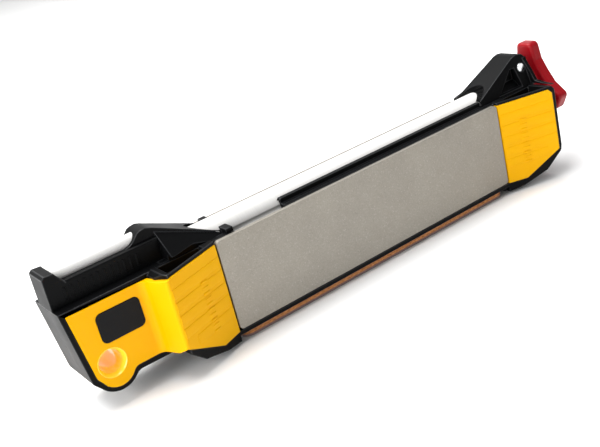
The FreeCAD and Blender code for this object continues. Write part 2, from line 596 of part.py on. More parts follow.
star = []
for turn in (90, 210, 330):
    star += [knob_corner(turn, "root_reach", "-root_half"), knob_corner(turn, "lobe_reach", "-lobe_half"),
             knob_corner(turn, "lobe_reach", "lobe_half"), knob_corner(turn, "root_reach", "root_half"),
             knob_corner(turn + 60, "waist_reach", "0")]
knob_blank = prism("knob_star", "end", star, "knob_left", "knob_right")
knob_cornered = rounded("knob_cornered", knob_blank, "lobe_round", lambda edge: runs_along(edge, X_AXIS))
knob_inner = rounded("knob_inner", knob_cornered, "knob_bevel", lambda edge: near(edge, "knob_left", 0.01))
knob_soft = rounded("knob_soft", knob_inner, "knob_round", lambda edge: near(edge, "knob_right", 0.01))
boss = cylinder("knob_boss", "x", ("0", "rod_high"), "boss_radius", "knob_right - 1", "boss_right")
soft_boss = rounded("knob_boss_soft", boss, "0.6", lambda edge: near(edge, "boss_right", 0.01))
inner_boss = cylinder("knob_inner_boss", "x", ("0", "rod_high"), "boss_radius", SQUARE_START,
                      "knob_left + 1")
nodes["rod_knob"] = cut(
    "rod_knob", fuse("knob_with_bosses", knob_soft, soft_boss, inner_boss),
    box("knob_square", (SQUARE_START, "knob_right - 1.4"), *SQUARE),
    cylinder("knob_screw_hole", "x", ("0", "rod_high"), "1.2", "knob_left", "knob_right"),
    cylinder("knob_screw_seat", "x", ("0", "rod_high"), "2.4", "boss_right - 1.8", "boss_right + 1"))
screw_body = fuse("knob_screw_blank",
                  cylinder("knob_screw_head", "x", ("0", "rod_high"), "2.4", "boss_right - 1.8",
                           "boss_right - 0.4"),
                  cylinder("knob_screw_shank", "x", ("0", "rod_high"), "1.2", "knob_left - 5",
                           "boss_right - 1.8"))
nodes["knob_screw"] = cut("knob_screw", screw_body,
                          box("knob_screw_slot", ("boss_right - 1.1", "boss_right"), ("-3", "3"),
                              ("rod_high - 0.35", "rod_high + 0.35")))

# ---------------------------------------------------------------- pin and detent

nodes["retaining_pin"] = cylinder("retaining_pin", "y", ("pin_x", "pin_high"), "pin_radius", "-5.2", "5.2")
ball = doc.addObject("Part::Sphere", "detent_ball")
ball.setExpression("Radius", linked("1.2"))
ball.setExpression("Placement.Base.x", linked("pin_x"))
ball.setExpression("Placement.Base.z", linked("rod_high + neck_radius + 1.2 + 0.05"))
nodes["detent_ball"] = ball
coils = []
for index in range(3):
    coil = doc.addObject("Part::Torus", f"detent_coil_{index + 1}")
    coil.Radius1 = 0.85
    coil.Radius2 = 0.15
    coil.setExpression("Placement.Base.x", linked("pin_x"))
    coil.setExpression("Placement.Base.z", linked(f"pin_high - pin_radius - 0.2 - {index} * 0.32"))
    coils.append(coil)
nodes["detent_spring"] = group("detent_spring", coils)

# ---------------------------------------------------------------- plates, magnets and fasteners

for name, side in SIDES.items():
    blank = box(f"{name}_plate_blank", (from_middle(-1, "plate_length / 2"),
                                        from_middle(1, "plate_length / 2")),
                across(side, "plate_face - plate_thick", "plate_face"),
                ("plate_low", "plate_low + plate_height"))
    nodes[f"{name}_plate"] = rounded(f"{name}_plate", blank, "plate_corner",
                                     lambda edge: runs_along(edge, Y_AXIS))
    discs = [cylinder(f"{name}_magnet_{step + 2}", "y", (from_middle(step, "magnet_step"), "screw_high"),
                      "magnet_radius", *across(side, f"{PLATE_BED} - magnet_thick", PLATE_BED))
             for step in (-1, 0, 1)]
    nodes[f"{name}_magnets"] = group(f"{name}_magnets", discs)

screws = []
for number, centre in enumerate(SCREWS, start=1):
    head = cylinder(f"screw_head_{number}", "y", (centre, "screw_high"), "2.3",
                    f"{PLATE_BED} - 1.9", f"{PLATE_BED} - 0.3")
    shank = cylinder(f"screw_shank_{number}", "y", (centre, "screw_high"), "1.15", "-5.4",
                     f"{PLATE_BED} - 1.9")
    drive = doc.addObject("Part::Prism", f"screw_drive_{number}")
    drive.Polygon = 6
    drive.Circumradius = 1.2
    drive.Height = 2
    drive.Placement = FreeCAD.Placement(FreeCAD.Vector(), FreeCAD.Rotation(X_AXIS, -90))
    drive.setExpression("Placement.Base.x", linked(centre))
    drive.setExpression("Placement.Base.y", linked(f"{PLATE_BED} - 1.3"))
    drive.setExpression("Placement.Base.z", linked("screw_high"))
    screws.append(cut(f"body_screw_{number}", fuse(f"screw_blank_{number}", head, shank), drive))
nodes["body_screws"] = group("body_screws", screws)

# ---------------------------------------------------------------- serration rod, sleeve and strop

nodes["serration_rod"] = cylinder("serration_rod", "x", ("0", "small_high"), "small_radius",
                                  "small_left", "small_right")
flares = []
for name, side in SIDES.items():
    flare = doc.addObject("Part::Cone", f"sleeve_{name}_flare")
    flare.Placement = FreeCAD.Placement(FreeCAD.Vector(), FreeCAD.Rotation(X_AXIS, -90 * side))
    flare.setExpression("Placement.Base.x", linked("hole_x"))
    flare.setExpression("Placement.Base.y", linked(f"{side} * (cover_face + 0.1 - sleeve_flare)"))
    flare.setExpression("Placement.Base.z", linked("hole_high"))
    flare.setExpression("Radius1", linked("hole_radius"))
    flare.setExpression("Radius2", linked("sleeve_radius - 0.15"))
    flare.setExpression("Height", linked("sleeve_flare"))
    flares.append(flare)
nodes["lanyard_sleeve"] = cut(
    "lanyard_sleeve",
    cylinder("sleeve_outside", "y", ("hole_x", "hole_high"), "sleeve_radius",
             "-cover_face - 0.1", "cover_face + 0.1"),
    cylinder("sleeve_bore", "y", ("hole_x", "hole_high"), "hole_radius", "-20", "20"), *flares)


def strip(label, inset, half, low, high):
    """A flat strip under the body with rounded corners."""
    blank = box(label + "_blank", (from_middle(-1, f"plate_length / 2 - strop_inset - {inset}"),
                                   from_middle(1, f"plate_length / 2 - strop_inset - {inset}")),
                (f"-({half})", half), (low, high))
    return rounded(label, blank, "3", lambda edge: runs_along(edge, Z_AXIS))


nodes["strop"] = strip("strop", "0", "strop_half", "0", "strop_thick")
nodes["strop_pad"] = strip("strop_pad", "0.3", "strop_half - 0.3", "strop_thick", "base_high")

# ---------------------------------------------------------------- checks and export

doc.recompute()
for label, node in nodes.items():
    node.Label = label
for thing in doc.Objects:
    faults = [state for state in thing.State if state in ("Invalid", "Error")]
    if faults:
        raise RuntimeError(f"{thing.Label} did not build: {faults}")
os.makedirs("parts", exist_ok=True)
for label, node in nodes.items():
    shape = node.Shape
    if shape.isNull() or not shape.isValid() or not shape.Solids:
        raise RuntimeError(f"{label} is not a valid solid")
    shape.exportStep(f"parts/{label}.step")
    limits = shape.BoundBox
    print(f"{label:22s} solids {len(shape.Solids)} volume {shape.Volume:9.1f}"
          f" x {limits.XMin:7.2f} {limits.XMax:7.2f} y {limits.YMin:7.2f} {limits.YMax:7.2f}"
          f" z {limits.ZMin:7.2f} {limits.ZMax:7.2f}")
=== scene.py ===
import json
import math

import bpy
from mathutils import Matrix, Vector

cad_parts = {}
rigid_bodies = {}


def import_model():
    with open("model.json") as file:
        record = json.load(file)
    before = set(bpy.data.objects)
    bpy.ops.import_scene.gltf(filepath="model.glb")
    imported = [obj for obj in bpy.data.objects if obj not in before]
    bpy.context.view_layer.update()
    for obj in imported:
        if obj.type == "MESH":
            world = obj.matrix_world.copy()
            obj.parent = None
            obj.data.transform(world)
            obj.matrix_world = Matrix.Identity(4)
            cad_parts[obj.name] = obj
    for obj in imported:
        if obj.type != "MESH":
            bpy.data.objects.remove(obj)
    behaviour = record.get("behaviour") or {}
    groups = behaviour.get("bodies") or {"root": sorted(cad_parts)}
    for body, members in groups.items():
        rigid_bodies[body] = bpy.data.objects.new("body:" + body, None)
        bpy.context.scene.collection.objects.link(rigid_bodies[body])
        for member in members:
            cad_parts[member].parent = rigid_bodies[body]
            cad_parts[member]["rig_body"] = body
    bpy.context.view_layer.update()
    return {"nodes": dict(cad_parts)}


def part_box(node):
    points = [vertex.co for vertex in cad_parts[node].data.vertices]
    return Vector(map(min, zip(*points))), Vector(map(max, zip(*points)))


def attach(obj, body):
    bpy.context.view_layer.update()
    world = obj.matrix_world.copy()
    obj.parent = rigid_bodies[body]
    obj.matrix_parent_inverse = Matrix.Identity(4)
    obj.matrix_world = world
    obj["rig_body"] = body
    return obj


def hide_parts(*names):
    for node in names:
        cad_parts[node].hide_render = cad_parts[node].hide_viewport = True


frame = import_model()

# ---------------------------------------------------------------- camera
# A normal lens a hand's length away, in front of the handle and above it, tipped a little so that
# the tool climbs to the right.
camera_data = bpy.data.cameras.new("camera")
camera_data.lens = 57.0
camera_data.sensor_width = 36.0
camera = bpy.data.objects.new("camera", camera_data)
camera.location = (-0.13802, -0.21014, 0.11687)
camera.rotation_euler = [math.radians(turn) for turn in (67.582, 13.323, -36.039)]
bpy.context.scene.collection.objects.link(camera)
bpy.context.scene.camera = camera

# ---------------------------------------------------------------- paper floor and studio light
# A sheet of matt white paper runs far past the tool. A white tent lights it from all round, its
# low back wall most, with one large soft box overhead and one beyond the handle's end.
MM = 0.001


def linear(code):
    """A hex colour as the linear red, green, blue and alpha that a socket takes."""
    parts = [int(code[place:place + 2], 16) / 255 for place in (1, 3, 5)]
    return [part / 12.92 if part <= 0.04045 else ((part + 0.055) / 1.055) ** 2.4
            for part in parts] + [1]


def add_node(tree, kind, settings, links):
    """A node whose sockets or fields take the settings and whose sockets take the links."""
    node = tree.nodes.new(kind)
    for field, amount in settings.items():
        if isinstance(field, int) or field in node.inputs:
            node.inputs[field].default_value = amount
        else:
            setattr(node, field, amount)
    for socket, source in links.items():
        tree.links.new(source, node.inputs[socket])
    return node


def new_finish(name):
    """An empty material with the place on the piece, in metres, ready for its nodes."""
    finish = bpy.data.materials.new(name)
    finish.use_nodes = True
    finish.node_tree.nodes.clear()
    place = add_node(finish.node_tree, "ShaderNodeTexCoord", {}, {}).outputs["Object"]
    return finish, finish.node_tree, place


# uncoated white card: bright, without gloss, its pulp barely clouded
card, tree, place = new_finish("uncoated white card")
pulp = add_node(tree, "ShaderNodeTexNoise", {"Scale": 1 / (60 * MM), "Detail": 3},
                {"Vector": place})
tone = add_node(tree, "ShaderNodeMix",
                {"data_type": "RGBA", 6: linear("#f4f4f3"), 7: linear("#f7f7f7")},
                {0: pulp.outputs[0]})
shader = add_node(tree, "ShaderNodeBsdfPrincipled", {"Roughness": 0.9, "Specular IOR Level": 0.1},
                  {"Base Color": tone.outputs[2]})
add_node(tree, "ShaderNodeOutputMaterial", {}, {"Surface": shader.outputs[0]})

bpy.ops.object.select_all(action="DESELECT")
bpy.ops.mesh.primitive_plane_add(size=8, location=(0, 0, 0))
floor = bpy.context.object
floor.name = "floor"
floor.data.materials.append(card)

tent = bpy.data.worlds.new("white tent")
tent.use_nodes = True
tree = tent.node_tree
tree.nodes.clear()
side = add_node(tree, "ShaderNodeSeparateXYZ", {},
                {0: add_node(tree, "ShaderNodeTexCoord", {}, {}).outputs["Generated"]})
behind = add_node(tree, "ShaderNodeMapRange",
                  {"From Min": 0.2, "From Max": 0.75, "To Min": 0, "To Max": 0.7},
                  {"Value": side.outputs["Y"]})
wall = add_node(tree, "ShaderNodeMapRange",
                {"From Min": 0.66, "From Max": 0.4, "To Min": 0, "To Max": 1},
                {"Value": side.outputs["Z"]})
glow = add_node(tree, "ShaderNodeMath", {"operation": "MULTIPLY_ADD", 2: 0.34},
                {0: behind.outputs[0], 1: wall.outputs[0]})
cloth = add_node(tree, "ShaderNodeBackground", {"Color": linear("#ffffff")},
                 {"Strength": glow.outputs[0]})
add_node(tree, "ShaderNodeOutputWorld", {}, {"Surface": cloth.outputs[0]})
bpy.context.scene.world = tent
bpy.context.scene.view_settings.view_transform = "Standard"

for name, place, width, power in (("overhead_box", (-0.10, 0.25, 0.90), 0.9, 17.0),
                                  ("handle_box", (-0.75, -0.05, 0.30), 0.6, 6.5)):
    lamp = bpy.data.lights.new(name, "AREA")
    lamp.size = width
    lamp.energy = power
    box = bpy.data.objects.new(name, lamp)
    box.location = place
    box.rotation_euler = (Vector((0, 0, 0.02)) - box.location).to_track_quat("-Z", "Y").to_euler()
    bpy.context.scene.collection.objects.link(box)

# ---------------------------------------------------------------- moulded body halves
# Two halves of glass filled nylon, injection moulded with a fine spark eroded texture and screwed
# together over the spine. The mould leaves every outside edge with a small radius.


def select_only(thing):
    """Selects one object and makes it the active one."""
    bpy.ops.object.select_all(action="DESELECT")
    thing.select_set(True)
    bpy.context.view_layer.objects.active = thing


def rounded_edges(piece, radius, least_angle=28):
    """Rounds the piece's sharp edges and shades it so that its flats stay flat."""
    select_only(piece)
    bevel = piece.modifiers.new("rounded edges", "BEVEL")
    bevel.width = radius
    bevel.segments = 2
    bevel.limit_method = "ANGLE"
    bevel.angle_limit = math.radians(least_angle)
    bevel.use_clamp_overlap = False
    # the rounded edges take the piece's last finish, which on the nylon parts carries the painted
    # edge highlight
    bevel.material = len(piece.data.materials) - 1
    bpy.ops.object.modifier_apply(modifier=bevel.name)
    bpy.ops.object.shade_smooth_by_angle(angle=math.radians(40))
    weights = piece.modifiers.new("flat faces", "WEIGHTED_NORMAL")
    weights.keep_sharp = True
    bpy.ops.object.modifier_apply(modifier=weights.name)


def finished_part(node, radius, finishes):
    """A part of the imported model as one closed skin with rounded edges, in its real finish."""
    source = frame["nodes"][node]
    piece = bpy.data.objects.new(node + "_finished", source.data.copy())
    bpy.context.scene.collection.objects.link(piece)
    select_only(piece)
    bpy.ops.mesh.customdata_custom_splitnormals_clear()
    bpy.ops.object.mode_set(mode="EDIT")
    bpy.ops.mesh.select_all(action="SELECT")
    bpy.ops.mesh.remove_doubles(threshold=1e-6)
    bpy.ops.mesh.dissolve_limited(angle_limit=math.radians(0.5))
    bpy.ops.object.mode_set(mode="OBJECT")
    piece.data.materials.clear()
    for finish in finishes:
        piece.data.materials.append(finish)
    rounded_edges(piece, radius)
    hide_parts(node)
    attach(piece, source["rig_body"])
    return piece


# glass filled nylon from a spark eroded mould: near black, satin, its grain 0.15 mm in the mould
# and drawn at 0.4 mm so that it shows; cloudy patches where the fibres come near the skin
nylon, tree, place = new_finish("spark eroded glass filled nylon")
grain = add_node(tree, "ShaderNodeTexNoise", {"Scale": 1 / (0.4 * MM), "Detail": 4},
                 {"Vector": place})
cloud = add_node(tree, "ShaderNodeTexNoise", {"Scale": 1 / (9 * MM), "Detail": 3},
                 {"Vector": place})
tone = add_node(tree, "ShaderNodeMix",
                {"data_type": "RGBA", 6: linear("#060607"), 7: linear("#0c0d0e")},
                {0: cloud.outputs[0]})
satin = add_node(tree, "ShaderNodeMapRange",
                 {"From Min": 0.3, "From Max": 0.7, "To Min": 0.36, "To Max": 0.46},
                 {"Value": cloud.outputs[0]})
relief = add_node(tree, "ShaderNodeBump", {"Strength": 0.25, "Distance": 0.02 * MM},
                  {"Height": grain.outputs[0]})
shader = add_node(tree, "ShaderNodeBsdfPrincipled", {"IOR": 1.5, "Specular IOR Level": 0.07},
                  {"Base Color": tone.outputs[2], "Roughness": satin.outputs[0],
                   "Normal": relief.outputs[0]})
add_node(tree, "ShaderNodeOutputMaterial", {}, {"Surface": shader.outputs[0]})

# the same nylon on its rounded edges, painted a little brighter and given more gloss: a painted
# highlight where the edges catch the light
nylon_edge_highlight, tree, place = new_finish("painted edge highlight on glass filled nylon")
edge_highlight_noise = add_node(tree, "ShaderNodeTexNoise", {"Scale": 1 / (3 * MM), "Detail": 4}, {"Vector": place})
tone = add_node(tree, "ShaderNodeMix",
                {"data_type": "RGBA", 6: linear("#0e0f11"), 7: linear("#1b1d20")},
                {0: edge_highlight_noise.outputs[0]})
sheen = add_node(tree, "ShaderNodeMapRange",
                 {"From Min": 0.3, "From Max": 0.7, "To Min": 0.28, "To Max": 0.4},
                 {"Value": edge_highlight_noise.outputs[0]})
shader = add_node(tree, "ShaderNodeBsdfPrincipled", {"IOR": 1.5, "Specular IOR Level": 0.3},
                  {"Base Color": tone.outputs[2], "Roughness": sheen.outputs[0]})
add_node(tree, "ShaderNodeOutputMaterial", {}, {"Surface": shader.outputs[0]})

for name in ("front_shell", "rear_shell"):
    finished_part(name, 0.22 * MM, (nylon, nylon_edge_highlight))

# ---------------------------------------------------------------- spine with the upper handle
# One nylon moulding held between the halves: the ceramic rod's bed with its two lips, and the thin
# upper handle that holds the serration rod. Plain raised ribs on its sides give the fingers a hold.
finished_part("spine", 0.2 * MM, (nylon, nylon_edge_highlight))
RIB_WIDE, RIB_TALL, RIB_PROUD, RIB_ROUND = 0.8 * MM, 3.3 * MM, 0.25 * MM, 0.22 * MM
RIB_FIRST, RIB_COUNT, RIB_STEP = -82.6 * MM, 12, 1.75 * MM
RIB_HIGH, GRIP_FACE = 32.4 * MM, 4.3 * MM


def small_block(name, size, radius):
    """A small block about the origin with all its edges rounded."""
    bpy.ops.object.select_all(action="DESELECT")
    bpy.ops.mesh.primitive_cube_add(size=1)
    block = bpy.context.object
    block.name = name
    block.data.transform(Matrix.Diagonal((*size, 1)))
    bpy.ops.object.mode_set(mode="EDIT")
    bpy.ops.mesh.select_all(action="SELECT")
    bpy.ops.mesh.bevel(offset=radius, segments=3, affect="EDGES")
    bpy.ops.object.mode_set(mode="OBJECT")
    return block


def laid_out(pattern, name, places, finish, body):
    """One piece made of a copy of the pattern at each place; the pattern itself goes."""
    copies = []
    for place in places:
        copy = pattern.copy()
        copy.data = pattern.data.copy()
        bpy.context.scene.collection.objects.link(copy)
        copy.data.transform(place)
        copies.append(copy)
    select_only(copies[0])
    for copy in copies:
        copy.select_set(True)
    bpy.ops.object.join()
    piece = bpy.context.object
    piece.name = name
    bpy.ops.object.mode_set(mode="EDIT")
    bpy.ops.mesh.select_all(action="SELECT")
    bpy.ops.mesh.normals_make_consistent(inside=False)
    bpy.ops.object.mode_set(mode="OBJECT")
    bpy.ops.object.shade_smooth_by_angle(angle=math.radians(50))
    piece.data.materials.append(finish)
    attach(piece, body)
    return piece


for name, side in (("front", -1), ("rear", 1)):
    rib = small_block("rib", (RIB_WIDE, 2 * RIB_PROUD, RIB_TALL), RIB_ROUND)
    places = [Matrix.Translation((RIB_FIRST + RIB_STEP * number, side * GRIP_FACE, RIB_HIGH))
              for number in range(RIB_COUNT)]
    laid_out(rib, f"{name}_grip_ribs", places, nylon, "body")
    bpy.data.objects.remove(rib)

# ---------------------------------------------------------------- rod guides
# Two nylon pieces at the ends of the ceramic rod, each with a 25 degree ramp for the knife to rest
# on. The left one ends in an arch over the serration rod, the right one is a hood over the hub.
for name in ("rod_guide_left", "rod_guide_right"):
    finished_part(name, 0.18 * MM, (nylon, nylon_edge_highlight))

# ---------------------------------------------------------------- yellow covers and guides
# ABS mouldings snapped into the body: smoother on the handle than on the 20 degree ramps, which
# have low soft waves and a column of short dashes moulded on them.

# moulded ABS: a warm signal yellow of low gloss, smoother on the handle face than on the ramps,
# with flow marks 12 mm wide and a spark eroded grain drawn at 0.35 mm
abs_yellow, tree, place = new_finish("moulded yellow ABS")
flow = add_node(tree, "ShaderNodeTexNoise", {"Scale": 1 / (12 * MM), "Detail": 2},
                {"Vector": place})
tone = add_node(tree, "ShaderNodeMix",
                {"data_type": "RGBA", 6: linear("#e8a800"), 7: linear("#eeb100")},
                {0: flow.outputs[0]})
along = add_node(tree, "ShaderNodeSeparateXYZ", {}, {0: place})
ramp_share = add_node(tree, "ShaderNodeMapRange",
                      {"From Min": -66 * MM, "From Max": -63 * MM, "To Min": 0.16, "To Max": 0.42},
                      {"Value": along.outputs["X"]})
grain = add_node(tree, "ShaderNodeTexNoise", {"Scale": 1 / (0.35 * MM), "Detail": 3},
                 {"Vector": place})
relief = add_node(tree, "ShaderNodeBump", {"Strength": 0.15, "Distance": 0.02 * MM},
                  {"Height": grain.outputs[0]})
shader = add_node(tree, "ShaderNodeBsdfPrincipled",
                  {"IOR": 1.53, "Specular IOR Level": 0.07, "Subsurface Weight": 0.08,
                   "Subsurface Radius": (1.0, 0.5, 0.05),
                   "Subsurface Scale": 0.6 * MM},
                  {"Base Color": tone.outputs[2], "Roughness": ramp_share.outputs[0],
                   "Normal": relief.outputs[0]})
add_node(tree, "ShaderNodeOutputMaterial", {}, {"Surface": shader.outputs[0]})

RAMP_TURN = math.radians(20)
RAMP_RUN = 17.6 * MM / math.cos(RAMP_TURN)
RAMP_FOOT_RUN, PLATE_GAP = 6 * MM, 0.4 * MM
WAVE_THICK, WAVE_SHARE, WAVE_ROUND = 0.2 * MM, 0.72, 0.09 * MM
WAVE_INSET, WAVE_SHORTER = 0.25 * MM, 0.8 * MM
DASH_SIZE, DASH_ROUND = (2.2 * MM, 0.5 * MM, 0.5 * MM), 0.15 * MM
WAVE_FIRST, WAVE_STEP, WAVE_LOW, WAVE_SLANT = 6.6 * MM, 3.6 * MM, 3.5 * MM, 11.6 / 6.3
DASH_RUN, DASH_FIRST, DASH_STEP, DASH_COUNT = 7.4 * MM, 9.0 * MM, 1.5 * MM, 10
for name, side in (("front", -1), ("rear", 1)):
    for node in (f"{name}_handle_cover", f"{name}_tip_guide"):
        finished_part(node, 0.15 * MM, (abs_yellow,))
    plate_low, plate_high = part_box(f"{name}_plate")
    face = plate_low.y if side < 0 else plate_high.y
    for label, end, start in (("handle", -1, plate_low.x - PLATE_GAP),
                              ("tip", 1, plate_high.x + PLATE_GAP)):
        run = Vector((end * math.cos(RAMP_TURN), side * math.sin(RAMP_TURN), 0))
        out = Vector((-end * math.sin(RAMP_TURN), side * math.cos(RAMP_TURN), 0))
        ramp = Matrix((run, out, (0, 0, 1))).transposed().to_4x4()
        ramp.translation = (start, face, 0)
        wave = small_block("wave", (1, WAVE_THICK, WAVE_STEP * WAVE_SHARE), WAVE_ROUND)
        places = []
        for number in range(1, 6):
            high = WAVE_FIRST + number * WAVE_STEP
            slanted = RAMP_FOOT_RUN + (high - WAVE_STEP / 2 - WAVE_LOW) * WAVE_SLANT
            reach = min(RAMP_RUN, slanted) - WAVE_SHORTER
            middle = Matrix.Translation((reach / 2 + WAVE_INSET, 0, high))
            places.append(ramp @ middle @ Matrix.Diagonal((reach, 1, 1, 1)))
        laid_out(wave, f"{name}_{label}_ramp_waves", places, abs_yellow, "body")
        bpy.data.objects.remove(wave)
        dash = small_block("dash", DASH_SIZE, DASH_ROUND)
        places = [ramp @ Matrix.Translation((DASH_RUN, 0, DASH_FIRST + number * DASH_STEP))
                  for number in range(DASH_COUNT)]
        laid_out(dash, f"{name}_{label}_ramp_dashes", places, abs_yellow, "body")
        bpy.data.objects.remove(dash)

# ---------------------------------------------------------------- handle badges
# A blank inlay of black ABS with rounded corners, pressed into each handle face.

# black ABS, matt from its mould: a flat black that shows against the glossy yellow
badge_black, tree, place = new_finish("matt black ABS inlay")
grain = add_node(tree, "ShaderNodeTexNoise", {"Scale": 1 / (0.3 * MM), "Detail": 3},
                 {"Vector": place})
tone = add_node(tree, "ShaderNodeMix",
                {"data_type": "RGBA", 6: linear("#08080a"), 7: linear("#121214")},
                {0: grain.outputs[0]})
relief = add_node(tree, "ShaderNodeBump", {"Strength": 0.3, "Distance": 0.02 * MM},
                  {"Height": grain.outputs[0]})
shader = add_node(tree, "ShaderNodeBsdfPrincipled",
                  {"Roughness": 0.5, "IOR": 1.53, "Specular IOR Level": 0.12},
                  {"Base Color": tone.outputs[2], "Normal": relief.outputs[0]})
add_node(tree, "ShaderNodeOutputMaterial", {}, {"Surface": shader.outputs[0]})
for name in ("front_badge", "rear_badge"):
    finished_part(name, 0.12 * MM, (badge_black,))

# ---------------------------------------------------------------- lanyard sleeve
# A flanged tube of amber acetal through the handle, flared at both mouths so that a cord runs free.

# amber acetal: a glossy orange yellow, painted deeper towards the middle of the bore as painted
# shade; a faint painted glow stands for the light that its wall lets through
amber, tree, place = new_finish("polished amber acetal")
depth = add_node(tree, "ShaderNodeSeparateXYZ", {}, {0: place})
deep = add_node(tree, "ShaderNodeMath", {"operation": "ABSOLUTE"}, {0: depth.outputs["Y"]})
bore_shade_share = add_node(tree, "ShaderNodeMapRange", {"From Min": 2 * MM, "From Max": 7 * MM},
                 {"Value": deep.outputs[0]})
# painted shade: the colour deepens from the mouths towards the middle of the bore
tone = add_node(tree, "ShaderNodeMix",
                {"data_type": "RGBA", 6: linear("#eeaa00"), 7: linear("#f7cc3c")},
                {0: bore_shade_share.outputs[0]})
# the emission is a painted glow; the sleeve is no lamp
shader = add_node(tree, "ShaderNodeBsdfPrincipled",
                  {"Roughness": 0.08, "IOR": 1.48, "Subsurface Weight": 0.1,
                   "Subsurface Radius": (1.0, 0.4, 0.05),
                   "Subsurface Scale": 2 * MM, "Coat Weight": 0.6, "Coat Roughness": 0.03,
                   "Emission Color": linear("#ffc814"), "Emission Strength": 0.25},
                  {"Base Color": tone.outputs[2]})
add_node(tree, "ShaderNodeOutputMaterial", {}, {"Surface": shader.outputs[0]})
finished_part("lanyard_sleeve", 0.1 * MM, (amber,))

# ---------------------------------------------------------------- grinding plates
# Two steel plates with diamond grit held in electroplated nickel, on magnets in the body.

# diamond grit in nickel: a dull warm grey, clouded where the plating is thicker, with light and
# dark specks; grit of 0.06 mm drawn at 0.25 mm so that it shows
grit, tree, place = new_finish("diamond grit in electroplated nickel")
speck = add_node(tree, "ShaderNodeTexVoronoi", {"Scale": 1 / (0.25 * MM)}, {"Vector": place})
cloud = add_node(tree, "ShaderNodeTexNoise",
                 {"Scale": 1 / (14 * MM), "Detail": 5, "Roughness": 0.6},
                 {"Vector": place})
base = add_node(tree, "ShaderNodeMix",
                {"data_type": "RGBA", 6: linear("#8a857d"), 7: linear("#9c978d")},
                {0: cloud.outputs[0]})
spark = add_node(tree, "ShaderNodeSeparateColor", {}, {0: speck.outputs["Color"]})
rare = add_node(tree, "ShaderNodeMapRange",
                {"From Min": 0.86, "From Max": 1.0, "To Min": 0, "To Max": 0.12},
                {"Value": spark.outputs[0]})
lit = add_node(tree, "ShaderNodeMix", {"data_type": "RGBA", 7: linear("#e4e2dc")},
               {0: rare.outputs[0], 6: base.outputs[2]})
dull = add_node(tree, "ShaderNodeMapRange",
                {"From Min": 0.9, "From Max": 1.0, "To Min": 0, "To Max": 0.2},
                {"Value": spark.outputs[1]})
tone = add_node(tree, "ShaderNodeMix", {"data_type": "RGBA", 7: linear("#6f6b63")},
                {0: dull.outputs[0], 6: lit.outputs[2]})
rough = add_node(tree, "ShaderNodeMapRange", {"To Min": 0.45, "To Max": 0.62},
                 {"Value": spark.outputs[2]})
relief = add_node(tree, "ShaderNodeBump", {"Strength": 0.3, "Distance": 0.03 * MM},
                  {"Height": speck.outputs[0]})
shader = add_node(tree, "ShaderNodeBsdfPrincipled", {"Metallic": 0.85},
                  {"Base Color": tone.outputs[2], "Roughness": rough.outputs[0],
                   "Normal": relief.outputs[0]})
add_node(tree, "ShaderNodeOutputMaterial", {}, {"Surface": shader.outputs[0]})
for name in ("front_plate", "rear_plate"):
    finished_part(name, 0.2 * MM, (grit,))

# ---------------------------------------------------------------- magnets and body screws
# Nickel plated disc magnets pressed into the beds behind the plates, and four socket screws that
# clamp the body together; both show only when a plate is off.

# bright nickel plate: a clean warm mirror, a little clouded by handling
nickel, tree, place = new_finish("bright nickel plate")
haze = add_node(tree, "ShaderNodeTexNoise", {"Scale": 1 / (2 * MM), "Detail": 3}, {"Vector": place})
tone = add_node(tree, "ShaderNodeMix",
                {"data_type": "RGBA", 6: linear("#b3aea6"), 7: linear("#c9c5bd")},
                {0: haze.outputs[0]})
rough = add_node(tree, "ShaderNodeMapRange", {"To Min": 0.14, "To Max": 0.3},
                 {"Value": haze.outputs[0]})
shader = add_node(tree, "ShaderNodeBsdfPrincipled", {"Metallic": 1.0},
                  {"Base Color": tone.outputs[2], "Roughness": rough.outputs[0]})
add_node(tree, "ShaderNodeOutputMaterial", {}, {"Surface": shader.outputs[0]})
for name in ("front_magnets", "rear_magnets"):
    finished_part(name, 0.2 * MM, (nickel,))

# zinc plated steel: a bluish bright grey with fine turning marks 0.1 mm apart, drawn at 0.2 mm
zinc, tree, place = new_finish("zinc plated steel")
turned = add_node(tree, "ShaderNodeTexNoise", {"Scale": 1 / (0.2 * MM), "Detail": 2},
                  {"Vector": place})
tone = add_node(tree, "ShaderNodeMix",
                {"data_type": "RGBA", 6: linear("#9ea3a6"), 7: linear("#c4c9cc")},
                {0: turned.outputs[0]})
rough = add_node(tree, "ShaderNodeMapRange", {"To Min": 0.18, "To Max": 0.36},
                 {"Value": turned.outputs[0]})
shader = add_node(tree, "ShaderNodeBsdfPrincipled", {"Metallic": 1.0},
                  {"Base Color": tone.outputs[2], "Roughness": rough.outputs[0]})
add_node(tree, "ShaderNodeOutputMaterial", {}, {"Surface": shader.outputs[0]})
finished_part("body_screws", 0.15 * MM, (zinc,))

# ---------------------------------------------------------------- leather strop and its tape
# A strip of split leather with a fibrous cut edge, its smooth side down, stuck to the underside of
# the body with thin foam tape.

# split leather: orange brown fibres along the cut edge; the lower part of the edge is painted a
# darker taupe as painted shade
leather, tree, place = new_finish("cut edge of split leather")
height = add_node(tree, "ShaderNodeSeparateXYZ", {}, {0: place})
stretch = add_node(tree, "ShaderNodeMapping", {"Scale": (0.35, 1, 1.4)}, {"Vector": place})
fibre = add_node(tree, "ShaderNodeTexNoise",
                 {"Scale": 1 / (0.35 * MM), "Detail": 5, "Roughness": 0.7},
                 {"Vector": stretch.outputs[0]})
warm = add_node(tree, "ShaderNodeMapRange", {"From Min": 0.35, "From Max": 0.65},
                {"Value": fibre.outputs[0]})
split = add_node(tree, "ShaderNodeMix",
                 {"data_type": "RGBA", 6: linear("#94502a"), 7: linear("#f0a565")},
                 {0: warm.outputs[0]})
